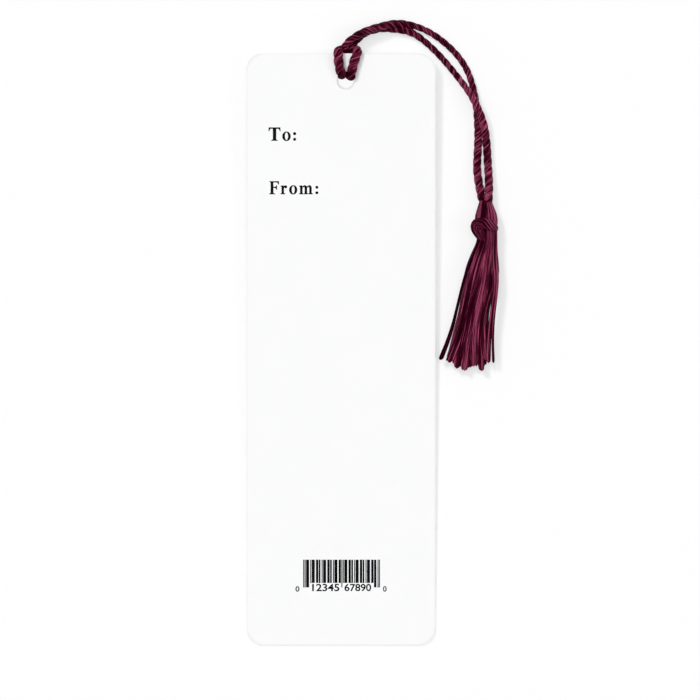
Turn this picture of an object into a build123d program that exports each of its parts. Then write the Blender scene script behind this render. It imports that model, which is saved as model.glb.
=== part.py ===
"""A paper bookmark with a twisted cord and a tassel, lying on a table with its blank back up.

Millimetres, +Z up, +Y towards the punched end. The origin is on the table, under the middle of the
card. The cord is looped through the hole in a lark's head: two legs lie on the back of the card, and
the doubled cord comes out under its top edge, over the bight. That knot lifts the card's top end a
little, so the card lies on a plane that leans by the height of the knot.
"""
from build123d import *

import math
import os

# Card
card_width = 57.0
card_length = 178.5
card_thickness = 0.4
corner_radius = 4.75
hole_diameter = 5.5
hole_from_top = 8.2
hole_offset = 1.4

# Cord
cord_diameter = 1.9
table_clearance = 0.05
cord_clearance = 0.06
strand_gap = 0.1

# Lark's head, measured from the card's top edge and from the hole's own line
standing_shift = 0.5
left_leg_spread = 2.5
right_leg_spread = 3.6
leg_past_edge = 1.3
bight_past_edge = 2.3
rise_from_edge = 0.4
rise_to_edge = 2.0
hitch_rise = 0.6
crossing_gap = 0.25
exit_share = 0.48

# Routes of the two strands: across, up, and the height above lying flat on the table.
# The arch is measured from the hole's line and the card's top edge.
left_arch = [
    (0.25, 4.55, 2.7),
    (3.5, 6.7, 2.4),
    (7.9, 8.2, 1.9),
    (13.0, 9.0, 1.4),
    (17.8, 8.8, 0.6),
    (23.1, 7.25, 0.0),
]
right_arch = [
    (2.15, 3.8, 1.6),
    (5.0, 5.45, 0.9),
    (9.2, 6.75, 0.3),
    (13.8, 7.35, 0.0),
    (18.1, 6.6, 0.0),
    (21.8, 4.75, 0.0),
]
# The drop is measured from the card's right and top edges. The right strand crosses over the left.
left_drop = [
    (0.9, 4.45, 0.0),
    (5.7, 0.05, 0.0),
    (9.1, -4.45, 0.0),
    (11.1, -9.55, 0.0),
    (12.5, -16.25, 0.0),
    (12.9, -23.35, 0.0),
    (12.6, -29.75, 0.0),
    (12.5, -34.75, 0.3),
    (13.4, -39.45, 1.1),
    (14.05, -42.05, 1.6),
    (14.05, -44.45, 1.6),
]
right_drop = [
    (-0.3, 0.35, 0.0),
    (4.1, -4.35, 0.0),
    (7.7, -8.65, 0.9),
    (10.8, -12.85, 2.4),
    (13.4, -18.05, 2.4),
    (14.7, -22.65, 1.2),
    (15.4, -27.75, 0.1),
    (15.7, -33.25, 0.0),
    (16.0, -38.25, 0.6),
    (16.1, -42.05, 1.6),
    (16.1, -44.45, 1.6),
]

# Tassel head: drop below the neck, width, height, shift to the right, rise above the neck
head_sections = [
    (0.0, 4.2, 2.6, 0.0, 0.0),
    (2.4, 5.4, 3.8, 0.1, 0.3),
    (4.8, 6.5, 4.8, 0.1, 0.8),
    (6.0, 5.2, 4.2, 0.0, 1.1),
    (7.0, 2.7, 2.7, -0.1, 1.15),
    (9.0, 2.7, 2.7, 0.1, 1.15),
    (11.8, 6.0, 3.2, 0.65, 0.4),
]

# Turn of yarn that is drawn tight round the head's waist
wrap_diameter = 2.2
wrap_clearance = 0.15
wrap_drop = 8.0
wrap_lean = 10.0
wrap_gap_angle = 30.0

# Fringe: drop below the neck, left and right edge from the neck, underside and top above the table
fringe_sections = [
    (11.8, -2.2, 3.5, 1.7, 4.4),
    (18.4, -5.2, 3.6, 0.9, 4.4),
    (27.7, -7.6, 3.6, 0.3, 4.4),
    (37.4, -9.8, 2.7, 0.05, 4.3),
    (49.4, -11.5, 2.5, 0.05, 4.2),
]
fringe_rows = 3
fringe_columns = 8
yarn_sides = 8
yarn_fill = 0.86
tip_spread = 1.5
tip_step_angle = 137.5
stray_row = 1
stray_shift = 1.7

# Values that follow from the sizes above
cord_radius = cord_diameter / 2
lying = cord_radius + table_clearance
strand_offset = (cord_diameter + strand_gap) / 2
under_card = -(cord_radius + cord_clearance)
over_card = card_thickness + cord_radius + cord_clearance
over_bight = under_card + hitch_rise
card_lift = lying + cord_diameter + crossing_gap - over_bight
top_edge = card_length / 2
hole_up = top_edge - hole_from_top
room_in_hole = hole_diameter / 2 - cord_radius - cord_clearance
strand_up = hole_up + math.sqrt(room_in_hole**2 - strand_offset**2)

card_lean = math.asin(card_lift / card_length)
card_plane = Plane(
    origin=(0, 0, card_lift / 2),
    x_dir=(1, 0, 0),
    z_dir=(0, -math.sin(card_lean), math.cos(card_lean)),
)


def on_card(across, up, above):
    """A point given along, up and above the card, in the part's own frame."""
    return card_plane.from_local_coords(Vector(across, up, above))


def strand_route(arch, drop):
    """The points of one strand from the arch over the card to the neck of the tassel."""
    from_hole = [Vector(hole_offset + x, top_edge + y, lying + z) for x, y, z in arch]
    from_corner = [Vector(card_width / 2 + x, top_edge + y, lying + z) for x, y, z in drop]
    return from_hole + from_corner


def half_hitch(side, leg_spread, first_point):
    """One half of the lark's head, from the free strand to the bight under the top edge."""
    out = hole_offset + standing_shift + side * strand_offset
    through = hole_offset + side * strand_offset
    leg = hole_offset + side * leg_spread
    over = on_card(out, top_edge + rise_to_edge, over_bight)
    return [
        over + (first_point - over) * exit_share,
        over,
        on_card(out, top_edge + rise_from_edge, under_card),
        on_card(through, strand_up, under_card),
        on_card(through, strand_up, over_card),
        on_card(leg, top_edge + leg_past_edge, over_card),
        on_card(leg, top_edge + bight_past_edge, lying - card_lift),
    ]


def bend_radii(points):
    """The largest arc that each corner's two runs leave room for."""
    radii = []
    for before, corner, after in zip(points, points[1:], points[2:]):
        run_in = corner - before
        run_out = after - corner
        half_turn = math.radians(run_in.get_angle(run_out)) / 2
        radii.append(0.45 * min(run_in.length, run_out.length) / math.tan(half_turn))
    return radii


def report_tube(name, points, path, tube):
    """Print a tube's length, its volume against section times length, and its bends."""
    ideal = math.pi * cord_radius**2 * path.length
    print(f"{name}: length {path.length:.1f}, volume {tube.volume / ideal:.4f} of section times length")
    print("  bend radii", [round(radius, 1) for radius in bend_radii(points)])


def points_along(path, count):
    """Evenly spaced points along a path."""
    return [path.position_at(step / count) for step in range(count + 1)]


os.makedirs("parts", exist_ok=True)

# Card: a sheet of coated board with rounded corners and one punched hole
with BuildPart() as card:
    with BuildSketch(card_plane):
        sheet = Rectangle(card_width, card_length)
        fillet(sheet.vertices(), radius=corner_radius)
        with Locations((hole_offset, hole_up)):
            Circle(hole_diameter / 2, mode=Mode.SUBTRACT)
    extrude(amount=card_thickness)
card.part.label = "card"
export_step(card.part, "parts/card.step")

# Lark's head: one length of cord from strand to strand, through the hole and round the top edge
left_route = strand_route(left_arch, left_drop)
right_route = strand_route(right_arch, right_drop)
left_half = half_hitch(-1, left_leg_spread, left_route[0])
right_half = half_hitch(1, right_leg_spread, right_route[0])
hitch_route = left_half + right_half[::-1]
with BuildPart() as cord_hitch:
    with BuildLine() as hitch_path:
        FilletPolyline(*hitch_route, radius=bend_radii(hitch_route))
    with BuildSketch(Plane(origin=hitch_path.line @ 0, z_dir=hitch_path.line % 0)):
        Circle(cord_radius)
    sweep()
cord_hitch.part.label = "cord_hitch"
export_step(cord_hitch.part, "parts/cord_hitch.step")
report_tube("cord_hitch", hitch_route, hitch_path.wires()[0], cord_hitch.part)

# Left strand: leaves the hitch on the outside of the arch and passes under the right strand
left_points = [left_half[0]] + left_route
with BuildPart() as left_strand:
    with BuildLine() as left_path:
        FilletPolyline(*left_points, radius=bend_radii(left_points))
    with BuildSketch(Plane(origin=left_path.line @ 0, z_dir=left_path.line % 0)):
        Circle(cord_radius)
    sweep()
left_strand.part.label = "left_strand"
export_step(left_strand.part, "parts/left_strand.step")
report_tube("left_strand", left_points, left_path.wires()[0], left_strand.part)

# Right strand: leaves the hitch on the inside of the arch and crosses over the left strand
right_points = [right_half[0]] + right_route
with BuildPart() as right_strand:
    with BuildLine() as right_path:
        FilletPolyline(*right_points, radius=bend_radii(right_points))
    with BuildSketch(Plane(origin=right_path.line @ 0, z_dir=right_path.line % 0)):
        Circle(cord_radius)
    sweep()
right_strand.part.label = "right_strand"
export_step(right_strand.part, "parts/right_strand.step")
report_tube("right_strand", right_points, right_path.wires()[0], right_strand.part)

# Tassel head: the gathered yarn below the neck, squeezed to a waist where the turn grips it
neck = (left_route[-1] + right_route[-1]) / 2
with BuildPart() as tassel_head:
    for drop, width, height, shift, rise in head_sections:
        centre = neck + Vector(shift, -drop, rise)
        with BuildSketch(Plane(origin=centre, x_dir=(1, 0, 0), z_dir=(0, -1, 0))):
            Ellipse(width / 2, height / 2)
    loft(ruled=True)
tassel_head.part.label = "tassel_head"
export_step(tassel_head.part, "parts/tassel_head.step")

# Tassel wrap: one open turn round the waist, leaning down to the left, its ends tucked underneath
waist_radius = min(width for drop, width, height, shift, rise in head_sections) / 2
wrap_radius = waist_radius + wrap_clearance + wrap_diameter / 2
wrap_centre = Vector(neck.X, neck.Y - wrap_drop, wrap_radius + wrap_diameter / 2 + table_clearance)
lean = math.radians(wrap_lean)
wrap_plane = Plane(
    origin=wrap_centre,
    x_dir=(math.cos(lean), math.sin(lean), 0),
    z_dir=(math.sin(lean), -math.cos(lean), 0),
)
half_turn = (360 - wrap_gap_angle) / 2
with BuildPart() as tassel_wrap:
    with BuildLine(wrap_plane) as wrap_path:
        CenterArc((0, 0), wrap_radius, 90 - half_turn, half_turn)
        CenterArc((0, 0), wrap_radius, 90, half_turn)
    with BuildSketch(Plane(origin=wrap_path.line @ 0, z_dir=wrap_path.line % 0)):
        Circle(wrap_diameter / 2)
    sweep()
tassel_wrap.part.label = "tassel_wrap"
export_step(tassel_wrap.part, "parts/tassel_wrap.step")
wrap_ends = tassel_wrap.faces().filter_by(GeomType.PLANE)
print(f"gap between the ends of the wrap {wrap_ends[0].distance_to(wrap_ends[1]):.2f}")

# Fringe: rows of soft yarns that swell and fan out towards their cut ends
for number in range(fringe_rows * fringe_columns):
    row, column = divmod(number, fringe_columns)
    nesting = 0.75 if row % 2 else 0.25
    with BuildPart() as yarn:
        for drop, left, right, underside, top in fringe_sections:
            pitch = (right - left) / (fringe_columns + 0.5)
            radius = yarn_fill * pitch / 2
            across = left + (column + nesting + 0.25) * pitch
            above = underside + radius + row * (top - underside - 2 * radius) / (fringe_rows - 1)
            if drop == fringe_sections[-1][0]:
                drop += tip_spread * math.sin(math.radians(number * tip_step_angle))
                across -= stray_shift if (row, column) == (stray_row, 0) else 0
            centre = Vector(neck.X + across, neck.Y - drop, above)
            with BuildSketch(Plane(origin=centre, x_dir=(1, 0, 0), z_dir=(0, -1, 0))):
                RegularPolygon(radius, yarn_sides)
        loft(ruled=True)
    yarn.part.label = f"fringe_yarn_{number + 1:02d}"
    export_step(yarn.part, f"parts/{yarn.part.label}.step")

# Least gaps between the strands, and between the lark's head and itself
left_line = points_along(left_path.wires()[0], 300)
right_line = points_along(right_path.wires()[0], 300)
strands = min((a - b).length for a in left_line for b in right_line) - cord_diameter
print(f"least gap between the strands {strands:.2f}")
hitch_line = points_along(hitch_path.wires()[0], 240)
step_length = hitch_path.wires()[0].length / 240
apart = math.ceil(math.pi * cord_diameter / step_length)
self_gap = min(
    (hitch_line[i] - hitch_line[j]).length
    for i in range(len(hitch_line))
    for j in range(i + apart, len(hitch_line))
) - cord_diameter
print(f"least gap of the hitch to itself {self_gap:.2f}")
print(f"card lift {card_lift:.2f}, lean {math.degrees(card_lean):.2f} degrees")
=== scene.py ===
# %% [markdown]
# A card bookmark with a twisted cord and a tassel.
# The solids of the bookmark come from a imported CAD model, which is loaded first as a fixed frame in metres.
# Blender then adds what a CAD solid can't show:
# the twist of the cord, the floss of the tassel, the look of the board, and the ink.
# Lengths in this lesson are written in millimetres and multiplied by MM where they become mesh points.

# %% Load the frame
import math
import bmesh
import bpy
import numpy as np
from mathutils import Matrix, Vector


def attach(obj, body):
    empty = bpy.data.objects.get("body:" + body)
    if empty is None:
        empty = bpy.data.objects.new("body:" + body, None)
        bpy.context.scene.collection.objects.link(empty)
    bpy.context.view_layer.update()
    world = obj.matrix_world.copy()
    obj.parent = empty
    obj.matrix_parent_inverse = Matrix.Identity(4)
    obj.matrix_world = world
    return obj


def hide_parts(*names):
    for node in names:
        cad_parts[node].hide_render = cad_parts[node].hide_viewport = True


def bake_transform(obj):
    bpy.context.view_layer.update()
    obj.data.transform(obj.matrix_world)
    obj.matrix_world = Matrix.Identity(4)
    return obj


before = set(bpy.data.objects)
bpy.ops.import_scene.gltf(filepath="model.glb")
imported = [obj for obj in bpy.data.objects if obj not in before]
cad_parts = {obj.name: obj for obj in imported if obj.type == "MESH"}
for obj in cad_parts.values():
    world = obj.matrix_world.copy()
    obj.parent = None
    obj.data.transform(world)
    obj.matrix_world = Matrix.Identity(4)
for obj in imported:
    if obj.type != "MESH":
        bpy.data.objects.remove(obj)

MM = 0.001
scene = bpy.context.scene
scene.view_settings.view_transform = "Standard"
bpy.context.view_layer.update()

# %% [markdown]
# The camera looks straight down, as in a shop picture of a flat thing.
# A wide lens close by would show the sides of the fringe, so a long lens stands further off.
# Its height follows from the width that the picture has to take in at about the height of the card:
# half that width over half the sensor, times the lens.

# %% Camera
picture_width, width_level = 211.1, 2.0
middle_x, middle_y = 2.71, -0.15
lens, sensor = 400.0, 36.0
camera_height = picture_width * lens / sensor + width_level
camera_data = bpy.data.cameras.new("camera")
camera_data.lens, camera_data.sensor_width, camera_data.clip_start = lens, sensor, 10 * MM
camera = bpy.data.objects.new("camera", camera_data)
camera.location = (middle_x * MM, middle_y * MM, camera_height * MM)
scene.collection.objects.link(camera)
scene.camera = camera
print("camera height in mm:", round(camera_height, 1))

# %% [markdown]
# The cord is one length of satin cord, doubled and tied through the hole in a lark's head.
# Its route is four lists of points that start where a strand leaves the knot:
# the two free runs go outwards, and the two sides of the knot go inwards.
# Put together, they go from the tassel's neck up the left strand,
# through the knot, and down the right strand.
# A NURBS line of order 3 uses them as control points, so the whole route is one smooth line with no corners.

# %% The route of the cord
left_run = [(3.7, 93.85, 3.9), (5.45, 95.0, 3.8), (7.05, 95.8, 3.5), (9.4, 96.65, 3.25), (12.1, 97.4, 3.05),
            (15.6, 98.3, 2.5), (19.8, 98.2, 1.7), (24.68, 96.85, 1.15), (29.52, 94.07, 1.1),
            (34.5, 89.65, 1.1), (37.9, 84.9, 1.14), (39.75, 79.7, 1.21), (41.0, 73.0, 1.32),
            (41.52, 65.9, 1.4), (41.25, 59.5, 1.42), (40.95, 54.5, 1.5), (41.65, 49.6, 2.1),
            (42.2, 47.2, 2.6), (42.6, 44.2, 2.6)]
right_run = [(5.0, 93.65, 2.2), (6.25, 94.7, 1.6), (7.75, 95.8, 1.4), (9.8, 96.4, 1.34), (12.4, 96.95, 1.3),
             (15.6, 96.75, 1.3), (20.0, 96.2, 1.26), (23.6, 94.4, 1.16), (28.5, 90.1, 1.1),
             (32.85, 85.2, 1.1), (36.4, 80.7, 1.95), (39.4, 76.5, 3.2), (41.95, 71.3, 3.3),
             (43.35, 66.6, 2.2), (44.0, 61.5, 1.4), (44.3, 56.0, 1.42), (44.65, 51.0, 1.75),
             (44.6, 47.2, 2.6), (44.3, 43.0, 2.85)]
left_knot = [(1.75, 92.3, 3.75), (1.05, 90.9, 3.05), (0.9, 89.3, 2.45), (0.6, 84.87, 2.42),
             (0.4, 82.6, 2.42), (0.22, 82.55, 4.83), (-0.42, 84.75, 4.88), (-0.75, 87.0, 4.95),
             (-0.8, 88.6, 5.0), (-0.8, 90.2, 4.9), (0.1, 90.8, 1.5)]
right_knot = [(3.8, 92.1, 2.9), (2.95, 90.9, 3.05), (2.9, 89.3, 2.45), (2.7, 84.5, 2.42),
              (2.8, 82.15, 2.42), (2.9, 82.1, 4.83), (3.38, 84.6, 4.88), (3.98, 86.9, 4.95),
              (4.55, 88.5, 5.0), (5.2, 89.95, 4.9), (4.5, 91.0, 1.5)]


def smooth_line(points):
    """The NURBS line of order 3 with these control points, read back as many points in mm."""
    curve = bpy.data.curves.new("route", "CURVE")
    curve.dimensions = "3D"
    spline = curve.splines.new("NURBS")
    spline.points.add(len(points) - 1)
    spline.points.foreach_set("co", np.column_stack([np.array(points) * MM, np.ones(len(points))]).ravel())
    spline.order_u = 3
    spline.use_endpoint_u = True
    spline.resolution_u = 24
    carrier = bpy.data.objects.new("route", curve)
    mesh = bpy.data.meshes.new_from_object(carrier)
    line = np.empty(len(mesh.vertices) * 3)
    mesh.vertices.foreach_get("co", line)
    bpy.data.objects.remove(carrier)
    bpy.data.meshes.remove(mesh)
    return line.reshape(-1, 3) / MM


def even_line(line, step):
    """Points at even steps of walked length, and the length at each of them.
    The length so far is summed up along the line, and each coordinate is read off it."""
    walked = np.concatenate([[0.0], np.cumsum(np.linalg.norm(np.diff(line, axis=0), axis=1))])
    mark = np.linspace(0.0, walked[-1], int(round(walked[-1] / step)) + 1)
    return mark, np.column_stack([np.interp(mark, walked, line[:, axis]) for axis in range(3)])


ring_step = 0.22
route = left_run[::-1] + left_knot + right_knot[::-1] + right_run
walked, cord_line = even_line(smooth_line(route), ring_step)
cuts = [int(np.argmin(np.linalg.norm(cord_line - np.array(knot[0]), axis=1)))
        for knot in (left_knot, right_knot)]
print("cord in mm:", round(walked[-1], 1), "left strand:", round(walked[cuts[0]], 1),
      "right strand:", round(walked[-1] - walked[cuts[1]], 1))

# %% [markdown]
# Every soft piece here is made of threads, so one helper puts a tube round each of many lines at once.
# A real thread isn't smooth: finer fibres lie side by side in it.
# So the ring of each tube has shallow ridges that wind slowly.
# The helper also notes where each point is on its thread, so that a finish can follow the fibres.

# %% Tubes round many lines
ridge_start, noise_start = 1.7, 31.0


def unit(vectors):
    """Each vector over its own length."""
    return vectors / np.maximum(np.linalg.norm(vectors, axis=-1, keepdims=True), 1e-9)


def thread_tubes(lines, outward, sideways, radial, sides, ridges, turn, depth=0.06):
    """A tube round each line, as an array of threads by rings by sides.
    A point is the line's point, plus sideways times the cosine of its angle across the thread,
    plus radial times the sine of its angle outward.
    Both are pulled in by up to twice depth in the valleys of a cosine wave of so many ridges,
    which winds by turn radians for each mm.
    Each thread starts its ridges and its noise at a place of its own."""
    tangent = unit(np.gradient(lines, axis=1))
    out = unit(outward - (outward * tangent).sum(-1, keepdims=True) * tangent)
    across = np.cross(out, tangent)
    steps = np.linalg.norm(np.diff(lines, axis=1), axis=-1)
    along = np.concatenate([np.zeros((len(lines), 1)), np.cumsum(steps, axis=1)], axis=1)[..., None]
    angle = np.arange(sides) * 2 * math.pi / sides
    own = np.arange(len(lines))[:, None, None]
    valley = 0.5 - 0.5 * np.cos(ridges * angle + turn * along + ridge_start * own)
    size = 1.0 - 2.0 * depth * valley
    sideways, radial = (np.broadcast_to(half, lines.shape[:2])[..., None] for half in (sideways, radial))
    points = (lines[:, :, None] + (size * sideways * np.cos(angle))[..., None] * across[:, :, None]
              + (size * radial * np.sin(angle))[..., None] * out[:, :, None])
    lay = np.stack(np.broadcast_arrays(np.cos(angle), np.sin(angle), along + noise_start * own), axis=-1)
    return {"points": points, "lay": lay, "groove": valley}


def put_mesh(name, tubes, tone):
    """A mesh of tubes: a quad between neighbouring sides of neighbouring rings, and one face over each end.
    Its attributes are the lay and the groove of each point, and the tone of the point's ring."""
    points = tubes["points"]
    index = np.arange(points[..., 0].size).reshape(points.shape[:3])
    beside = np.roll(index, -1, axis=2)
    quads = np.stack([index[:, :-1], beside[:, :-1], beside[:, 1:], index[:, 1:]], axis=-1).reshape(-1, 4)
    ends = np.concatenate([index[:, 0, ::-1], index[:, -1]])
    mesh = bpy.data.meshes.new(name)
    mesh.from_pydata((points.reshape(-1, 3) * MM).tolist(), [], quads.tolist() + ends.tolist())
    mesh.polygons.foreach_set("use_smooth", np.ones(len(mesh.polygons), dtype=bool))
    tone = np.broadcast_to(np.asarray(tone, dtype=float).reshape(len(points), -1, 1), index.shape)
    for key, kind, field, values in (("lay", "FLOAT_VECTOR", "vector", tubes["lay"]),
                                     ("groove", "FLOAT", "value", tubes["groove"]),
                                     ("tone", "FLOAT", "value", tone)):
        attribute = mesh.attributes.new(key, kind, "POINT")
        attribute.data.foreach_set(field, np.ascontiguousarray(values, dtype=np.float32).ravel())
    piece = bpy.data.objects.new(name, mesh)
    scene.collection.objects.link(piece)
    print(name, "threads:", len(points), "faces:", len(mesh.polygons))
    return piece


# %% [markdown]
# The cord is twisted from two flattened plies that wind round each other to the right.
# So on an upright stretch they slant like a slash.
# One twisted band would be simpler, but two tubes on a double helix give the valley that holds the shade.
# The helix needs cross directions along the line that don't spin by themselves.
# They are carried from ring to ring, and only what points along the cord is taken out.

# %% The two plies
twist_length, ply_offset, ply_radial, ply_sideways = 5.6, 0.50, 0.57, 0.80
tuck_length, tuck_least = 1.7, 0.04


def carried_frame(line):
    """Two cross directions for each ring of a line.
    The first starts upwards and loses its part along each new tangent, so a ring needs the one before it.
    The second is square to the first and to the tangent."""
    tangent = unit(np.gradient(line, axis=0))
    cross = np.empty_like(line)
    last = np.array([0.0, 0.0, 1.0])
    for ring, direction in enumerate(tangent):
        last = unit(last - last.dot(direction) * direction)
        cross[ring] = last
    return cross, np.cross(tangent, cross)


def ramp(values, start, end):
    """From 0 at start to 1 at end: the way gone from start over the whole way, held at 0 and 1 outside."""
    return np.clip((values - start) / (end - start), 0, 1)


cross_one, cross_two = carried_frame(cord_line)
turned = 2 * math.pi * walked / twist_length + np.array([[0.0], [math.pi]])
ply_out = np.cos(turned)[..., None] * cross_one + np.sin(turned)[..., None] * cross_two
from_end = np.minimum(walked, walked[-1] - walked)
from_knot = np.minimum(np.abs(walked - walked[cuts[0]]), np.abs(walked - walked[cuts[1]]))
# The cord is fuller towards the tassel and near the knot, and each of its ends is rounded off.
swell = 0.95 + 0.27 * ramp(from_end, 38, 24) + 0.05 * ramp(from_end, 12, 6) + 0.19 * ramp(from_knot, 24, 18)
full = swell * np.sqrt(np.clip(from_end / tuck_length, tuck_least, 1))
plies = thread_tubes(cord_line + (ply_offset * full)[:, None] * ply_out, ply_out, ply_sideways * full,
                     ply_radial * full, sides=48, ridges=9, turn=0.55, depth=0.07)
print("rings of the cord:", len(cord_line), "turns of the plies:", round(walked[-1] / twist_length, 1))

# %% [markdown]
# The knot presses the cord wider where it lies on the card. The cord's colour is painted darker as shade:
# between its plies, where it goes under the card, and at the hole, where its two legs shade each other.
# Then the cord is cut into three pieces where it leaves the knot, because they move differently.

# %% The pieces of the cord
knot_right, knot_spread, card_level = 8, 0.25, 3.4
knot_begins, dive_begins, hole_begins = (91.5, 90.0), (91.0, 90.2), (84.0, 83.0)
valley_begins, ridge_share = (0.97, 0.75), 0.8
ply_tones = np.array([[0.2], [0.4]])
far_tone, knot_tone, painted_shade_tone, hole_shade_share = 0.5, 0.55, 2.5, 0.7
at_knot = cord_line[:, 0] < knot_right
in_knot = ramp(cord_line[:, 1], *knot_begins) * at_knot
from_middle = plies["points"][..., 0] - cord_line[None, :, None, 0]
plies["points"][..., 0] += (knot_spread * in_knot)[None, :, None] * from_middle
away = np.linalg.norm(plies["points"] - cord_line[None, :, None], axis=-1) / swell[None, :, None]
plies["groove"] = np.maximum(ridge_share * plies["groove"], ramp(away, *valley_begins))
# Painted shade: the cord is darkened where it goes under the card and near the hole.
dive_shade = ramp(cord_line[:, 1], *dive_begins) * (cord_line[:, 2] < card_level) * at_knot
hole_shade = ramp(cord_line[:, 1], *hole_begins) * at_knot
cord_tone = (ply_tones - far_tone * ramp(from_end, 40, 50) + knot_tone * in_knot
             - painted_shade_tone * np.maximum(dive_shade, hole_shade_share * hole_shade))


def cord_piece(name, first, last):
    """The rings of both plies from one ring to another, so neighbours share the ring where they meet."""
    rings = slice(first, last + 1)
    return put_mesh(name, {key: value[:, rings] for key, value in plies.items()}, cord_tone[:, rings])


left_strand = cord_piece("left_strand_rope", 0, cuts[0])
hitch = cord_piece("hitch_rope", cuts[0], cuts[1])
right_strand = cord_piece("right_strand_rope", cuts[1], len(cord_line) - 1)

# %% [markdown]
# The head of the tassel is floss that was laid over the cord and folded down.
# So its threads come out of the middle, turn over the top and swell to a bulb.
# A lathed bulb would look moulded. Here each thread is a line of its own,
# spread round an ellipse that changes with the drop below the neck.
# A B-spline draws all threads at once:
# a matrix with the share of each control point is multiplied with the control points of every thread.

# %% Splines below the neck
neck = np.array([43.75, 44.95, 0.0])


def spline_shares(count, spread, degree=3):
    """A matrix with a row for each place along the line:
    the shares that the control points of a clamped B-spline have there.
    By the Cox-de Boor rule each degree mixes two neighbouring shares of the degree below,
    by how far the place is between their knots."""
    knots = np.concatenate([np.zeros(degree), np.linspace(0, 1, count - degree + 1), np.ones(degree)])
    at = np.clip(spread, 0, 1 - 1e-9)[:, None]
    share = ((at >= knots[:-1]) & (at < knots[1:])).astype(float)
    for level in range(1, degree + 1):
        low, high = knots[:-level - 1], knots[level + 1:]
        rise = (at - low) / np.maximum(knots[level:-1] - low, 1e-9) * (knots[level:-1] > low)
        fall = (high - at) / np.maximum(high - knots[1:-level], 1e-9) * (high > knots[1:-level])
        share = rise * share[:, :-1] + fall * share[:, 1:]
    return share


def bell(angle, at, half):
    """A smooth bump: e to the minus square of the distance from its place over its half width."""
    return np.exp(-((angle - at) / half) ** 2)


def below_neck(across, drop, height):
    """Points of the tassel from a place across, a drop below the neck and a height over the table."""
    return np.stack(np.broadcast_arrays(neck[0] + across, neck[1] - drop, height), axis=-1)


print("neck in mm:", neck.tolist())

# %% The head
rng = np.random.default_rng(11)
head_drop = np.array([2.6, 0.6, -0.1, 0.9, 3.1, 5.5, 7.3, 8.5])
head_wide = np.array([0.45, 0.68, 1.6, 1.9, 2.65, 3.4, 3.1, 2.9])
head_high = np.array([0.30, 0.45, 1.0, 1.3, 1.9, 2.35, 1.75, 1.15])
head_level = np.array([2.6, 2.6, 2.6, 2.65, 2.95, 3.4, 3.55, 3.35])
head_shift = np.linspace(-0.4, 0.2, len(head_drop))
head_hollow = np.array([0, 0, 0.5, 1, 1, 0.9, 0.2, 0])
head_threads, head_rings, head_overlap, dent_depth = 52, 60, 0.78, 0.34
around = np.arange(head_threads)[:, None] + rng.uniform(-0.2, 0.2, (head_threads, 1))
around = around * 2 * math.pi / head_threads + np.linspace(0.0, 0.25, len(head_drop))
hollow = bell(around, at=1.9, half=0.5) * head_hollow
dent = 1 - dent_depth * hollow
head_controls = below_neck(head_shift + dent * head_wide * np.cos(around),
                           head_drop + rng.uniform(-0.15, 0.15, (head_threads, 1)),
                           head_level + dent * head_high * np.sin(around))
head_outward = np.stack([np.cos(around) * head_high, 0 * around, np.sin(around) * head_wide], axis=-1)
head_shares = spline_shares(len(head_drop), np.linspace(0.0, 1.0, head_rings))
head_size = head_shares @ (head_overlap * math.pi * (head_wide + head_high) / head_threads)
head_tubes = thread_tubes(head_shares @ head_controls, head_shares @ unit(head_outward), head_size, head_size,
                          sides=14, ridges=4, turn=0.3)
# The head's tone is painted light and shade: lighter towards its upper right, a painted highlight and a
# painted dark line at the left, and painted shade in the hollow.
lit_side = 0.8 * np.cos(around - 0.6)
painted_highlight = 1.8 * bell(around, at=2.5, half=0.2)
painted_edge_shade = 1.2 * bell(around, at=3.1, half=0.3)
head_tone = lit_side + painted_highlight - painted_edge_shade - 1.9 * hollow + rng.uniform(-0.9, 0.9, (head_threads, 1))
head = put_mesh("head_floss", head_tubes, head_tone @ head_shares.T)

# %% [markdown]
# The tassel is held by a hank of floss that comes up out of the fringe, turns over at the left
# and is drawn tight across the waist.
# It is a bundle of threads, not a ring, so its fibres run along the bend at the left
# and then slant steeply across the front, where the hank is twisted.
# Each thread follows the same path at its own place on a flat oval round it,
# and the oval turns as it crosses the front.

# %% The wrap
wrap_path = np.array([(0.3, 15.2, 3.2), (-0.5, 12.8, 3.9), (-1.7, 10.9, 4.3), (-2.85, 9.05, 4.6),
                      (-3.3, 7.3, 4.95), (-1.5, 6.75, 5.4), (0.4, 7.35, 5.7), (2.0, 7.85, 5.3),
                      (3.1, 8.4, 4.2), (3.2, 8.6, 2.8), (1.6, 8.5, 1.7), (-0.8, 8.3, 1.6),
                      (-2.7, 8.2, 2.0), (-3.1, 8.0, 3.6)])
wrap_faces = np.array([(-.3, 0, .95), (-.5, 0, .85), (-.55, 0, .83), (-.5, 0, .85), (-.45, .1, .87),
                       (-.35, .35, .87), (0, .1, 1), (.4, 0, .9), (.8, 0, .6), (1, 0, 0), (.4, 0, -.9),
                       (0, 0, -1), (-.6, 0, -.8), (-1, 0, 0)])
wrap_wide = np.array([0.5, 0.85, 1.25, 1.55, 1.6, 1.45, 1.25, 1.0, 0.75, 0.7, 0.75, 0.8, 0.8, 0.6])
wrap_thick = np.array([0.4, 0.5, 0.6, 0.7, 0.75, 0.75, 0.7, 0.6, 0.45, 0.4, 0.4, 0.4, 0.4, 0.3])
wrap_twist = np.array([0.0, 0.0, 0.0, 0.0, 0.0, 0.4, 1.5, 2.7, 3.5, 3.9, 4.0, 4.1, 4.2, 4.3])
wrap_threads, wrap_rings, wrap_overlap = 14, 112, 0.62
station = np.arange(len(wrap_path))
wrap_shares = spline_shares(len(wrap_path), np.linspace(0.0, 1.0, wrap_rings))
wrap_line = wrap_shares @ below_neck(*wrap_path.T)
wrap_along = unit(np.gradient(wrap_line, axis=0))
wrap_out = unit(wrap_shares @ wrap_faces)
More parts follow.
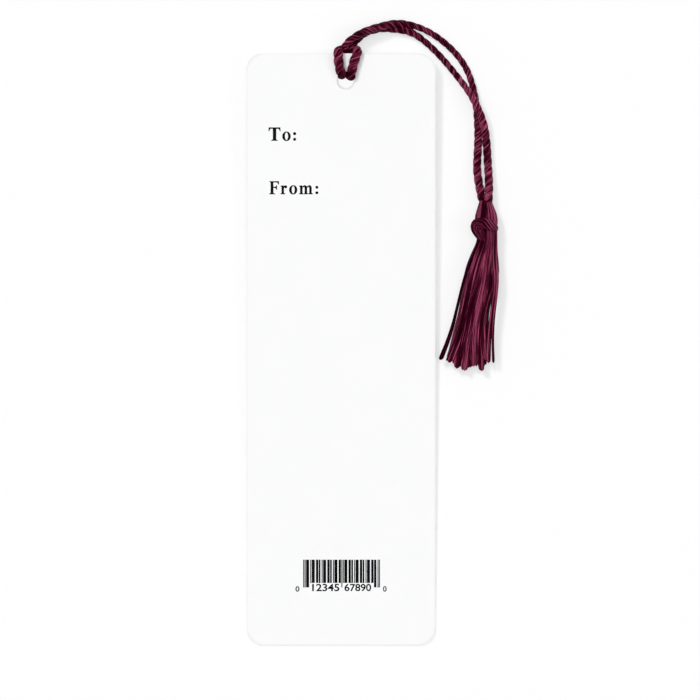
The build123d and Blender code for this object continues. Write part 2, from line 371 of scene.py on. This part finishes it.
wrap_out = unit(wrap_out - (wrap_out * wrap_along).sum(-1, keepdims=True) * wrap_along)
wrap_beside = np.cross(wrap_out, wrap_along)
on_oval = np.arange(wrap_threads)[:, None] + rng.uniform(-0.15, 0.15, (wrap_threads, 1))
on_oval = on_oval * 2 * math.pi / wrap_threads + wrap_shares @ wrap_twist
wide, thick = wrap_shares @ wrap_wide, wrap_shares @ wrap_thick
wrap_lines = (wrap_line + (np.cos(on_oval) * wide)[..., None] * wrap_beside
              + (np.sin(on_oval) * thick)[..., None] * wrap_out)
wrap_face = np.cos(on_oval)[..., None] * wrap_beside + np.sin(on_oval)[..., None] * wrap_out
wrap_size = wrap_overlap * 2 * math.pi * np.sqrt((wide ** 2 + thick ** 2) / 2) / wrap_threads
wrap_tubes = thread_tubes(wrap_lines, wrap_face, wrap_size, wrap_size, sides=14, ridges=4, turn=0.3)
# Across the front, alternate threads are painted lighter and darker: painted highlights and shade on the
# band's ridges.
ridge_light_and_shade = np.where(np.arange(wrap_threads) % 2, 1.0, -0.9)[:, None] * np.interp(station, [4, 6], [0.22, 1.1])
wrap_tone = ridge_light_and_shade - np.interp(station, [4, 7], [0.5, 0.0]) + rng.uniform(-0.4, 0.4, (wrap_threads, 1))
wrap = put_mesh("wrap_floss", wrap_tubes, wrap_tone @ wrap_shares.T)

# %% [markdown]
# The fringe is loose yarn in three layers. The yarns are thin where they are gathered,
# swell on the way down and end in cut tips at different lengths.
# Its outline is written as stations below the neck, and each yarn takes its share of the width there,
# so the fan stays full without yarns that cross.
# A few yarns at the edges stray from their lanes, as loose yarns do, and let slivers of the table show.

# %% The yarns of the fringe
fringe_drop = np.array([7.6, 11.6, 14.8, 19.5, 23.8, 33.0, 41.0])
fringe_left = np.array([-3.0, -2.45, -4.3, -6.3, -7.4, -9.45, -10.6])
fringe_right = np.array([3.35, 3.5, 3.5, 4.1, 4.25, 3.05, 1.5])
fringe_top = np.array([5.0, 4.95, 4.6, 4.5, 4.4, 4.3, 4.0, 3.6])
fringe_under = np.array([1.9, 1.5, 1.2, 0.8, 0.5, 0.3, 0.22, 0.2])
yarn_radius = np.array([0.42, 0.48, 0.58, 0.68, 0.76, 0.84, 0.92, 0.98])
tips = np.array([[(-13.5, 48.3), (-11.3, 48.9), (-8.6, 50.7), (-6.1, 51.4),
                  (-3.9, 50.1), (-1.57, 51.5), (0.45, 49.2), (1.95, 49.2)],
                 [(-10.9, 47.9), (-9.4, 49.6), (-7.2, 50.3), (-5.2, 50.6),
                  (-2.9, 50.0), (-1.3, 50.1), (-0.5, 48.6), (0.0, 47.6)],
                 [(-10.4, 46.9), (-8.8, 49.0), (-6.6, 49.7), (-4.6, 49.8),
                  (-3.2, 49.3), (-2.2, 49.5), (-1.0, 47.8), (-0.2, 46.8)]])
layers, per_layer = tips.shape[:2]
stations = len(yarn_radius)
lane = (np.arange(per_layer) + 0.5) / per_layer + np.array([[0.0], [0.045], [-0.03]])
fullness = rng.uniform(0.9, 1.15, (layers, per_layer))
fullness[0, 0], fullness[0, -2], fullness[0, -1] = 0.68, 0.7, 0.42
radius = fullness[..., None] * yarn_radius
radius[0, 0, 4:] *= 0.9, 0.7, 0.95, 1.1
inner_left, inner_right = fringe_left + radius[..., :-1], fringe_right - radius[..., :-1]
across = inner_left + lane[..., None] * (inner_right - inner_left)
across[0, 0, 4:] = -6.75, -8.95, -10.75
across[1:, 0, 5] += 0.45, 0.95
across[0, -1, 4:] = 3.7, 2.6, 2.0
across[0, -2, 4:] = 2.8, 1.9, 0.75
across[1:, -3:, 5:] -= np.array([[0.6, 0.2], [1.65, 0.4], [2.75, 0.6]])
stray = rng.normal(0, 0.2, (layers, per_layer, stations)) * np.linspace(0, 1, stations)
across = np.concatenate([across, tips[..., :1]], axis=-1) + stray
drop = np.concatenate([np.broadcast_to(fringe_drop, across[..., :-1].shape), tips[..., 1:]], axis=-1)
depth_share = np.array([0.0, 0.5, 1.0])[:, None, None]
height = (1 - depth_share) * (fringe_top - radius) + depth_share * (fringe_under + radius)
print("yarns:", layers * per_layer, "radius in mm:", round(radius.min(), 2), "to", round(radius.max(), 2))

# %% [markdown]
# Each yarn is laid from eight finer threads that wind slowly round its middle,
# because the fine light and dark streaks of floss come from them.
# The threads at the sides of a yarn end a little sooner, so that its cut tip is round.

# %% Eight threads in each yarn
threads_each, body_rings, tip_share = 8, 30, 0.01
yarn_flat, thread_flat, thread_share = (1.1, 0.92), (1.06, 0.94), 0.38
side_cut, cut_power, from_middle_share, stray_share = 0.55, 6, 0.66, 0.08
each_yarn, each_thread = (layers, per_layer, 1), (layers, per_layer, threads_each, 1)
tip_turn = np.linspace(0, 1.5, 5)[1:]
ring_at = np.concatenate([np.linspace(0, 1 - tip_share, body_rings), 1 - tip_share * (1 - np.sin(tip_turn))])
round_end = np.concatenate([np.ones(body_rings), np.cos(tip_turn)])
fringe_shares = spline_shares(stations, ring_at)
wind = (np.arange(threads_each) * 2 * math.pi / threads_each + rng.uniform(0, 6, each_yarn))[..., None]
wind = wind + rng.uniform(1.5, 3.5, (*each_yarn, 1)) * ring_at
yarn_size = (radius @ fringe_shares.T)[:, :, None, :]
yarn_middle = (fringe_shares @ below_neck(across, drop, height))[:, :, None]
cut = (rng.uniform(-0.1, 0.15, each_thread) + side_cut * np.cos(wind) ** 2) * ring_at ** cut_power
loose = from_middle_share + stray_share * rng.normal(0, 1, each_thread) * ring_at
beside = yarn_flat[0] * loose * yarn_size * np.cos(wind)
above = yarn_flat[1] * loose * yarn_size * np.sin(wind)
yarn_threads = yarn_middle + np.stack([beside, cut, above], axis=-1)
thread_face = np.stack([np.cos(wind), 0 * wind, np.sin(wind)], axis=-1)
thread_size = thread_share * yarn_size * round_end * rng.uniform(0.85, 1.15, each_thread)
flat_shape = (layers * per_layer * threads_each, len(ring_at))
thread_size = thread_size.reshape(flat_shape)
fringe_tubes = thread_tubes(yarn_threads.reshape(*flat_shape, 3), thread_face.reshape(*flat_shape, 3),
                            thread_size * thread_flat[0], thread_size * thread_flat[1],
                            sides=12, ridges=3, turn=0.15, depth=0.08)
yarn_tone = rng.uniform(-0.6, 0.6, (*each_yarn, 1))
yarn_tone[0, :, 0, 0] = (-1.3, -0.3, -0.2, -0.6, 0.8, -0.1, 0.2, 0.2)
yarn_tone = yarn_tone + rng.uniform(-1.3, 1.3, each_thread) + rng.normal(0, 0.5, (*each_yarn, stations))
yarn_tone[0, -1] += np.linspace(0.9, -0.9, stations)
# Painted shade: the tops of the yarns, under the wrap, are darker.
yarn_tone[..., :2] -= 0.6, 0.3
fringe = put_mesh("fringe_floss", fringe_tubes, yarn_tone @ fringe_shares.T)
lowest = fringe_tubes["points"].min(axis=(0, 1, 2))
print("fringe drop in mm:", round(float(neck[1] - lowest[1]), 1), "lowest:", round(float(lowest[2]), 2))

# %% [markdown]
# Shader nodes are many and alike, so small helpers make them and feed their inputs.

# %% Helpers for shader nodes
colour, number, vector = "NodeSocketColor", "NodeSocketFloat", "NodeSocketVector"


def node_group(name, inputs, outputs):
    """A shader node group with these sockets, and its input and output nodes."""
    group = bpy.data.node_groups.new(name, "ShaderNodeTree")
    for label, kind, default in inputs:
        group.interface.new_socket(label, in_out="INPUT", socket_type=kind).default_value = default
    for label, kind in outputs:
        group.interface.new_socket(label, in_out="OUTPUT", socket_type=kind)
    return group, group.nodes.new("NodeGroupInput"), group.nodes.new("NodeGroupOutput")


def feed(tree, node, pairs):
    """Fills a node's inputs: each pair is an input and either a socket to link to it or a plain value."""
    for label, source in pairs:
        if hasattr(source, "is_output"):
            tree.links.new(source, node.inputs[label])
        else:
            node.inputs[label].default_value = source


def add_node(tree, kind, fed=(), **settings):
    """A node of this kind with these settings of its own, its inputs fed with these pairs."""
    node = tree.nodes.new(kind)
    for key, value in settings.items():
        setattr(node, key, value)
    feed(tree, node, fed)
    return node


def math_node(tree, operation, *values):
    """One arithmetic node, fed with sockets or plain numbers."""
    return add_node(tree, "ShaderNodeMath", enumerate(values), operation=operation).outputs[0]


def map_range(tree, value, from_min, from_max, to_min=0.0, to_max=1.0):
    """One node that takes a value from one range to another and holds it at the ends."""
    limits = [("From Min", from_min), ("From Max", from_max), ("To Min", to_min), ("To Max", to_max)]
    return add_node(tree, "ShaderNodeMapRange", [("Value", value), *limits]).outputs[0]


def blend_colours(tree, factor, first, second):
    """One colour mix node: its inputs 0, 6 and 7 are the factor and the two colours."""
    fed = [(0, factor), (6, first), (7, second)]
    return add_node(tree, "ShaderNodeMix", fed, data_type="RGBA").outputs[2]


def new_material(name):
    """A material with nodes, its tree and its shader."""
    material = bpy.data.materials.new(name)
    material.use_nodes = True
    return material, material.node_tree, material.node_tree.nodes["Principled BSDF"]


print("sockets of groups:", colour, number, vector)

# %% [markdown]
# Satin floss is dyed wine red, and its fibres lie side by side in long light and dark streaks.
# The streaks are partly the fibres' own tone and partly painted: the light ones are a painted sheen,
# the dark ones painted shade, and the valleys are painted darker as shade.
# A photo of thread would repeat and stretch.
# Noise that is read off the thread's own attributes, and squeezed along it, gives streaks of any length.
# Cord, head and fringe all need them, so they are one node group, used with other values in each finish.

# %% Streaks along threads
black = (0, 0, 0, 1)
broad_share, fine_share, valley_depth = 0.8, 0.2, 0.4
body_level, light_level = (0.41, 0.50), (0.525, 0.605)
streaks, given, result = node_group(
    "thread_streaks",
    [("Shade", colour, black), ("Body", colour, black), ("Light", colour, black),
     ("Round Scale", number, 2.0), ("Along Scale", number, 0.15),
     ("Tone Share", number, 0.15), ("Valley Shade Share", number, 0.7)],
    [("Colour", colour), ("Roughness", number), ("Height", number)])
lay, groove, tone = (add_node(streaks, "ShaderNodeAttribute", attribute_name=key)
                     for key in ("lay", "groove", "tone"))
shade, body, light = (given.outputs[label] for label in ("Shade", "Body", "Light"))
round_scale, along_scale = given.outputs["Round Scale"], given.outputs["Along Scale"]
scales = add_node(streaks, "ShaderNodeCombineXYZ", [(0, round_scale), (1, round_scale), (2, along_scale)])
squeezed = add_node(streaks, "ShaderNodeVectorMath", [(0, lay.outputs["Vector"]), (1, scales.outputs[0])],
                    operation="MULTIPLY").outputs[0]
broad, fine = (add_node(streaks, "ShaderNodeTexNoise",
                        [("Vector", squeezed), ("Scale", scale), ("Detail", detail)]).outputs["Fac"]
               for scale, detail in ((1.0, 2.0), (4.2, 3.0)))
level = math_node(streaks, "ADD", math_node(streaks, "MULTIPLY", broad, broad_share),
                  math_node(streaks, "MULTIPLY", fine, fine_share))
level = math_node(streaks, "ADD", level,
                  math_node(streaks, "MULTIPLY", tone.outputs["Fac"], given.outputs["Tone Share"]))
shaded = blend_colours(streaks, map_range(streaks, level, *body_level), shade, body)
# Painted sheen: the lightest streaks take the light colour and stand in for the satin's highlights.
fibres_and_sheen = blend_colours(streaks, map_range(streaks, level, *light_level), shaded, light)
# Painted shade: the valleys between threads and plies are blended towards the shade colour.
valley_shade = math_node(streaks, "MULTIPLY", groove.outputs["Fac"], given.outputs["Valley Shade Share"])
sunk = math_node(streaks, "MULTIPLY", groove.outputs["Fac"], valley_depth)
feed(streaks, result, [("Colour", blend_colours(streaks, valley_shade, fibres_and_sheen, shade)),
                       ("Roughness", map_range(streaks, fine, 0.3, 0.7, to_min=0.5, to_max=0.34)),
                       ("Height", math_node(streaks, "SUBTRACT", fine, sunk))])
print("node group:", streaks.name, "nodes:", len(streaks.nodes))

# %% [markdown]
# Three finishes use the streaks: the hard twisted cord, the smooth floss of the head and wrap,
# and the looser fringe.
# The gloss of satin is set on the shader itself: a low, rather rough highlight with a pink tint,
# because the light goes into the dyed fibre and comes back coloured.

# %% Finishes of cord and floss
bump_distance = 0.08
satin_gloss, satin_tint = 0.07, (1.0, 0.12, 0.36, 1.0)


def from_screen(red, green, blue):
    """A screen colour of 0 to 255 as the linear colour that a shader takes, by the sRGB standard.
    A dark part is divided by 12.92. A lighter one gets 0.055, is divided by 1.055 and raised to 2.4."""
    part = np.array([red, green, blue]) / 255
    return (*np.where(part <= 0.04045, part / 12.92, ((part + 0.055) / 1.055) ** 2.4).tolist(), 1.0)


def satin_finish(name, scales, shares, bump, shade, body, light):
    """A satin material: the streak group feeds colour, roughness and bump.
    The scales are round and along the thread, and the shares are those of tone and of the painted shade in
    the valleys.
    What is constant sits on the shader."""
    material, tree, shader = new_material(name)
    colours = zip(("Shade", "Body", "Light"), (from_screen(*value) for value in (shade, body, light)))
    values = zip(("Round Scale", "Along Scale", "Tone Share", "Valley Shade Share"), (*scales, *shares))
    group = add_node(tree, "ShaderNodeGroup", (*colours, *values), node_tree=streaks)
    relief = add_node(tree, "ShaderNodeBump", [("Height", group.outputs["Height"]), ("Strength", bump),
                                               ("Distance", bump_distance * MM)])
    feed(tree, shader, [("Base Color", group.outputs["Colour"]), ("Roughness", group.outputs["Roughness"]),
                        ("Normal", relief.outputs[0]), ("Specular IOR Level", satin_gloss),
                        ("Specular Tint", satin_tint)])
    return material


twisted_satin = satin_finish("twisted_satin", scales=(2.0, 0.22), shares=(0.06, 1.0), bump=0.6,
                             shade=(26, 0, 9), body=(92, 12, 42), light=(202, 92, 130))
gathered_floss = satin_finish("gathered_floss", scales=(1.6, 0.16), shares=(0.10, 0.75), bump=0.5,
                              shade=(30, 0, 11), body=(92, 13, 43), light=(200, 92, 130))
loose_floss = satin_finish("loose_floss", scales=(1.7, 0.10), shares=(0.075, 0.7), bump=0.6,
                           shade=(28, 0, 10), body=(88, 12, 40), light=(200, 90, 128))
for pieces, finish, slot in (((left_strand, hitch, right_strand), twisted_satin, "cord"),
                             ((head, wrap), gathered_floss, "floss"), ((fringe,), loose_floss, "floss")):
    for piece in pieces:
        piece.data.materials.append(finish)
    print(finish.name, "on", [piece.name for piece in pieces])

# %% [markdown]
# Coated board isn't flat white: it has a fine tooth and faint clouds.
# The ink that is printed on it shows the tooth too, so both are one node group with two masks.

# %% Paper tooth
tooth, given, result = node_group(
    "paper_tooth",
    [("Vector", vector, (0, 0, 0)), ("Tooth Scale", number, 9000.0), ("Cloud Scale", number, 120.0)],
    [("Tooth", number), ("Cloud", number)])
for label, detail in (("Tooth", 2.0), ("Cloud", 3.0)):
    scale = given.outputs[label + " Scale"]
    noise = add_node(tooth, "ShaderNodeTexNoise",
                     [("Vector", given.outputs["Vector"]), ("Scale", scale), ("Detail", detail)])
    feed(tooth, result, [(label, noise.outputs["Fac"])])


def paper_in(tree):
    """The object's own coordinates in a material, and the paper group that reads them."""
    where = add_node(tree, "ShaderNodeTexCoord").outputs["Object"]
    return where, add_node(tree, "ShaderNodeGroup", [("Vector", where)], node_tree=tooth)


print("node group:", tooth.name, "nodes:", len(tooth.nodes))

# %% [markdown]
# The card is a sheet of white coated board with a cut edge.
# Its CAD solid already has the right shape, so it stays and only gets a finish.
# A slightly greyer line is painted just inside the cut edge, as painted shade along it.
# It is found with the distance from a point to a rounded rectangle,
# worked out from the object's own coordinates.

# %% The board
card_wide, card_long, corner = 57.0, 178.5, 6.0
edge_shade_inner, edge_shade_outer, tooth_strength, tooth_height = 0.45, 0.05, 0.12, 0.02
cool_white, warm_white = (0.962, 0.964, 0.972, 1), (0.976, 0.976, 0.980, 1)
edge_shade_grey = (0.90, 0.90, 0.905, 1)
board, tree, shader = new_material("coated_board")
where, paper = paper_in(tree)
split = add_node(tree, "ShaderNodeSeparateXYZ", [(0, where)])
past = [math_node(tree, "SUBTRACT", math_node(tree, "ABSOLUTE", split.outputs[axis]),
                  (side / 2 - corner) * MM)
        for axis, side in ((0, card_wide), (1, card_long))]
squares = [math_node(tree, "POWER", math_node(tree, "MAXIMUM", value, 0.0), 2.0) for value in past]
reach = math_node(tree, "SQRT", math_node(tree, "ADD", *squares))
within = math_node(tree, "MINIMUM", math_node(tree, "MAXIMUM", *past), 0.0)
from_edge = math_node(tree, "SUBTRACT", math_node(tree, "ADD", reach, within), corner * MM)
# Painted shade: a greyer line just inside the edge of the card.
edge_shade = map_range(tree, from_edge, -edge_shade_inner * MM, -edge_shade_outer * MM)
face = blend_colours(tree, map_range(tree, paper.outputs["Cloud"], 0.3, 0.7), cool_white, warm_white)
relief = add_node(tree, "ShaderNodeBump", [("Height", paper.outputs["Tooth"]), ("Strength", tooth_strength),
                                           ("Distance", tooth_height * MM)])
roughness = map_range(tree, paper.outputs["Tooth"], 0.0, 1.0, to_min=0.5, to_max=0.66)
feed(tree, shader, [("Base Color", blend_colours(tree, edge_shade, face, edge_shade_grey)),
                    ("Roughness", roughness), ("Normal", relief.outputs[0]), ("Specular IOR Level", 0.2)])
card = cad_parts["card"]
card.data.materials.clear()
card.data.materials.append(board)

# %% [markdown]
# The card carries a little black print: two plain words that leave room for names,
# and a block of bars such as goods have.
# Ink is a film on the board, so each shape is a flat curve that Blender fills.
# It gets a thickness of about a hundredth of a millimetre each way and is laid on the leaning card.

# %% Ink shapes
lean, under_middle, board_thick = 0.019945, 1.78, 0.4
ink_thick, ink_spread, merge_distance = 0.012, 0.045, 0.001
face_middle = (0, -board_thick * math.sin(lean) * MM, (under_middle + board_thick * math.cos(lean)) * MM)
on_card = Matrix.Translation(face_middle) @ Matrix.Rotation(lean, 4, "X")


def laid_on_card(name, carriers):
    """One mesh of all these flat curves, laid on the card.
    Each curve is filled by Blender and put in its place.
    Doubles are merged, and faces are turned outwards."""
    film = bmesh.new()
    for carrier in carriers:
        part = bpy.data.meshes.new_from_object(carrier)
        part.transform(carrier.matrix_basis)
        film.from_mesh(part)
        bpy.data.objects.remove(carrier)
        bpy.data.meshes.remove(part)
    bmesh.ops.remove_doubles(film, verts=film.verts, dist=merge_distance * MM)
    bmesh.ops.recalc_face_normals(film, faces=film.faces)
    whole = bpy.data.meshes.new(name)
    film.to_mesh(whole)
    open_edges = sum(not edge.is_manifold for edge in film.edges)
    film.free()
    whole.transform(on_card)
    piece = bpy.data.objects.new(name, whole)
    scene.collection.objects.link(piece)
    print(name, "faces:", len(whole.polygons), "open edges:", open_edges)
    return piece


def flat_curve(outlines, at, size):
    """A filled flat curve with straight-sided outlines.
    Its points are a place on the card in mm, plus the outline's points times a size in mm.
    An outline inside another is a hole, and every edge moves outwards by the spread of the ink."""
    curve = bpy.data.curves.new("ink", "CURVE")
    curve.dimensions, curve.fill_mode = "2D", "BOTH"
    curve.extrude, curve.offset = ink_thick * MM, ink_spread * MM
    for outline in outlines:
        flat = np.asarray(outline, dtype=float)
        spline = curve.splines.new("POLY")
        spline.points.add(len(flat) - 1)
        co = np.column_stack([(np.array(at) + flat * size) * MM, np.zeros(len(flat)), np.ones(len(flat))])
        spline.points.foreach_set("co", co.ravel())
        spline.use_cyclic_u = True
    return bpy.data.objects.new("ink", curve)


def oval(x, y, half_wide, half_high, points=32):
    """An oval: its middle plus the half sizes times cosine and sine, all the way round."""
    angle = np.arange(points) * 2 * math.pi / points
    return np.column_stack([x + half_wide * np.cos(angle), y + half_high * np.sin(angle)])


print("lean of the card in degrees:", round(math.degrees(lean), 2))

# %% [markdown]
# The words are set in a plain bold letter with slab feet, drawn here as outlines.
# A letter is its width and its outlines, in units of the height of a capital.

# %% The words
letters = {
    "T": (0.915, [[(.02, 1), (.88, 1), (.90, .72), (.87, .72), (.82, .84), (.74, .91), (.57, .91),
                   (.57, .12), (.60, .06), (.68, .04), (.68, 0), (.22, 0), (.22, .04), (.30, .06),
                   (.33, .12), (.33, .91), (.16, .91), (.08, .84), (.03, .72), (0, .72)]]),
    "o": (0.685, [oval(.31, .335, .31, .355), oval(.31, .335, .13, .295)]),
    "F": (0.785, [[(0, 1), (.73, 1), (.73, .76), (.70, .76), (.65, .87), (.56, .92), (.30, .92), (.30, .56),
                   (.44, .56), (.51, .60), (.54, .69), (.58, .69), (.58, .36), (.54, .36), (.51, .45),
                   (.44, .49), (.30, .49), (.30, .12), (.33, .06), (.43, .04), (.43, 0), (0, 0), (0, .04),
                   (.07, .06), (.10, .12), (.10, .88), (.07, .94), (0, .96)]]),
    "r": (0.58, [[(0, .64), (.22, .68), (.24, .58), (.30, .65), (.38, .68), (.46, .66), (.50, .58),
                  (.48, .50), (.42, .46), (.35, .48), (.32, .53), (.27, .50), (.25, .42), (.25, .12),
                  (.27, .06), (.35, .04), (.35, 0), (0, 0), (0, .04), (.06, .06), (.08, .12), (.08, .54),
                  (.05, .59), (0, .60)]]),
    "m": (1.18, [[(0, .64), (.22, .68), (.24, .58), (.33, .66), (.43, .69), (.53, .66), (.60, .57),
                  (.69, .66), (.80, .69), (.92, .65), (.97, .54), (.97, .12), (.99, .06), (1.06, .04),
                  (1.06, 0), (.73, 0), (.73, .04), (.78, .06), (.80, .12), (.80, .48), (.77, .56),
                  (.71, .57), (.64, .52), (.61, .46), (.61, .12), (.63, .06), (.69, .04), (.69, 0),
                  (.37, 0), (.37, .04), (.42, .06), (.44, .12), (.44, .48), (.41, .56), (.35, .57),
                  (.28, .52), (.25, .46), (.25, .12), (.27, .06), (.33, .04), (.33, 0), (0, 0), (0, .04),
                  (.06, .06), (.08, .12), (.08, .54), (.05, .59), (0, .60)]]),
    ":": (0.40, [oval(.11, .105, .105, .105), oval(.11, .535, .105, .105)])}


def word(text, at, size, gap):
    """The letters of a word in a row: each starts where the one before ends, plus a gap."""
    carriers, start = [], 0.0
    for letter in text:
        wide, outlines = letters[letter]
        carriers.append(flat_curve(outlines, (at[0] + start * size, at[1]), size))
        start += wide + gap
    return carriers


upper_word = word("To:", (-21.83, 62.95), 3.98, 0.13)
lower_word = word("From:", (-21.57, 46.85), 3.86, 0.09)
words = laid_on_card("printed_words", upper_word + lower_word)

# %% [markdown]
# The bars follow a simple counting rule and stand for no number.
# Three bars at each end and the one in the middle are guards, which reach lower than the rest.
# The middle one and the outer two of each end are thin.

# %% The bars
bar_left, bar_right, bar_top, bar_foot, guard_foot = -11.37, 11.7, -63.45, -70.4, -71.75
bar_count, end_guards, end_thin, inner_guards = 29, 3, 2, (4, 3)
count = np.arange(bar_count)
from_side = np.minimum(count, bar_count - 1 - count)
in_middle = count == bar_count // 2
thin = (from_side < end_thin) | in_middle
bar_units = np.where(thin, 1, 1 + (count * 7 + 3) % 4)
gap_units = np.where(thin, 1, 1 + (count * 5 + 1) % 2)
bar_units[[end_thin, -1 - end_thin]] = inner_guards
start_units = np.concatenate([[0], np.cumsum(bar_units + gap_units)])
unit_wide = (bar_right - bar_left) / (start_units[-1] - gap_units[-1])
starts = bar_left + start_units[:-1] * unit_wide
ends = bar_left + (start_units[:-1] + bar_units) * unit_wide
feet = np.where((from_side < end_guards) | in_middle, guard_foot, bar_foot)
bars = [[(start, bar_top), (end, bar_top), (end, foot), (start, foot)]
        for start, end, foot in zip(starts, ends, feet)]
print("bars:", len(bars), "unit in mm:", round(unit_wide, 3))

# %% Digits below the bars
digit_foot, digit_top, side_foot, side_top = -72.95, -70.7, -73.1, -71.4
digit_bold = 0.022


def digits(text, left, right, low, high):
    """Plain digits from Blender's own font, stretched to fill a box on the card."""
    font = bpy.data.curves.new("ink", "FONT")
    font.body, font.extrude, font.offset = text, ink_thick * MM, digit_bold
    carrier = bpy.data.objects.new("ink", font)
    part = bpy.data.meshes.new_from_object(carrier)
    co = np.empty(len(part.vertices) * 3)
    part.vertices.foreach_get("co", co)
    least, most = co.reshape(-1, 3).min(0)[:2], co.reshape(-1, 3).max(0)[:2]
    bpy.data.meshes.remove(part)
    stretch = np.array([right - left, high - low]) * MM / (most - least)
    shift = np.array([left, low]) * MM - least * stretch
    carrier.matrix_basis = Matrix.Translation((*shift, 0)) @ Matrix.Diagonal((*stretch, 1, 1))
    return carrier


numbers = [digits("12345", -8.7, -0.5, digit_foot, digit_top),
           digits("67890", 1.05, 9.1, digit_foot, digit_top),
           digits("0", -13.75, -12.55, side_foot, side_top),
           digits("0", 12.65, 13.75, side_foot, side_top)]
bar_block = laid_on_card("printed_bars", [flat_curve(bars, (0, 0), 1.0)] + numbers)

# %% [markdown]
# Black printing ink dries a little uneven, because the tooth of the board shows through it.
# The same paper group that the board uses breaks the black very slightly and gives the ink its dull gloss.

# %% The ink
full_black, worn_black = (0.0015, 0.0015, 0.002, 1), (0.005, 0.005, 0.006, 1)
ink, tree, shader = new_material("black_ink")
_, paper = paper_in(tree)
roughness = map_range(tree, paper.outputs["Tooth"], 0.0, 1.0, to_min=0.45, to_max=0.62)
feed(tree, shader, [("Base Color", blend_colours(tree, paper.outputs["Tooth"], full_black, worn_black)),
                    ("Roughness", roughness), ("Specular IOR Level", 0.05)])
for piece in (words, bar_block):
    piece.data.materials.append(ink)
print("ink pieces:", words.name, bar_block.name)

# %% [markdown]
# The bookmark lies on a white table. A shop picture is cleaned up to white,
# so what the camera sees of the table is partly its own white, and the shadows on it are pale.
# Where the table shows through the hole, it is painted whiter: painted light that takes away the card's
# shadow there.

# %% The table
table_half = 10000 * MM
hole_x, hole_y, hole_light_radius, shaded_radius = 1.5, 81.2, 2.15, 2.5
hole_light_share, pale_share = 0.93, 0.55
table_mesh = bpy.data.meshes.new("table")
corners = [(-table_half, -table_half, 0), (table_half, -table_half, 0),
           (table_half, table_half, 0), (-table_half, table_half, 0)]
table_mesh.from_pydata(corners, [], [(0, 1, 2, 3)])
table = bpy.data.objects.new("table", table_mesh)
scene.collection.objects.link(table)
matte, tree, shader = new_material("white_table")
feed(tree, shader, [("Base Color", (0.99, 0.99, 0.99, 1)), ("Roughness", 1.0), ("Specular IOR Level", 0.0)])
seen = add_node(tree, "ShaderNodeLightPath")
mirrored = math_node(tree, "MAXIMUM", seen.outputs["Is Glossy Ray"], seen.outputs["Is Transmission Ray"])
direct = math_node(tree, "MAXIMUM", seen.outputs["Is Camera Ray"], mirrored)
white = add_node(tree, "ShaderNodeEmission", [("Color", (1, 1, 1, 1)), ("Strength", 1.0)])
where = add_node(tree, "ShaderNodeTexCoord").outputs["Object"]
# Painted light: the table glows more just under the hole, where the card's shadow would fall.
from_hole = add_node(tree, "ShaderNodeVectorMath", [(0, where), (1, (hole_x * MM, hole_y * MM, 0))],
                     operation="DISTANCE").outputs["Value"]
glow_and_hole_light = map_range(tree, from_hole, hole_light_radius * MM, shaded_radius * MM,
                      to_min=hole_light_share, to_max=pale_share)
mixed = add_node(tree, "ShaderNodeMixShader", [(0, math_node(tree, "MULTIPLY", direct, glow_and_hole_light)),
                                               (1, shader.outputs[0]), (2, white.outputs[0])])
feed(tree, tree.nodes["Material Output"], [("Surface", mixed.outputs[0])])
table_mesh.materials.append(matte)
print("table side in m:", 2 * table_half)

# %% [markdown]
# The light is soft: an even sky, a broad lamp overhead, a little from the right,
# and a lamp from the upper left that throws the short soft shadow.
# Sun lamps light every place alike, as a studio with large soft boxes nearly does for so small a thing.
# The strengths add up to about one on the table, so that a colour renders as it is written.

# %% Light
sky_share = 0.27
world = bpy.data.worlds.new("studio")
world.use_nodes = True
feed(world.node_tree, world.node_tree.nodes["Background"], [("Color", (1, 1, 1, 1)), ("Strength", sky_share)])
scene.world = world


def sun(name, travel, share, angle):
    """A sun that shines along travel and gives the table this share of a full light.
    Its strength is the share times pi, over how straight down it shines. The share is handed back."""
    direction = Vector(travel).normalized()
    lamp = bpy.data.lights.new(name, "SUN")
    lamp.energy, lamp.angle = share * math.pi / -direction.z, math.radians(angle)
    carrier = bpy.data.objects.new(name, lamp)
    carrier.rotation_euler = direction.to_track_quat("-Z", "Y").to_euler()
    scene.collection.objects.link(carrier)
    return share


lamps = [("overhead", (0.1, -0.15, -1.0), 0.34, 60), ("key", (0.61, -0.79, -1.0), 0.32, 12),
         ("right", (-0.9, 0.1, -0.7), 0.07, 25)]
lamp_shares = [sun(*lamp) for lamp in lamps]
print("light on the table:", round(sky_share + sum(lamp_shares), 2))

# %% [markdown]
# The last step says how the pieces move.
# The wrap and the fringe ride on the tassel. Its head is soft floss,
# and the head and the two free strands only have their places baked into their meshes,
# while the CAD parts that they stand for are hidden.
# Each strand is also declared as a free cord of its real length, so that its size can be measured.

# %% Bodies of the pieces
bend_start, bend_end = below_neck(0, -0.3, 2.6), below_neck(0, 6.8, 2.6)
for piece in (hitch, words, bar_block):
    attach(piece, "card")
for piece in (wrap, fringe):
    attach(piece, "tassel")
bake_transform(head)
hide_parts("cord_hitch")
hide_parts("tassel_head")
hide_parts("tassel_wrap")
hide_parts(*[f"fringe_yarn_{n:02d}" for n in range(1, layers * per_layer + 1)])
left_path, right_path = cord_line[cuts[0]::-1], cord_line[cuts[1]:]
for strand, node, path, carried in ((left_strand, "left_strand", left_path, [head, wrap, fringe]),
                                    (right_strand, "right_strand", right_path, [])):
    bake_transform(strand)
    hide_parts(node)
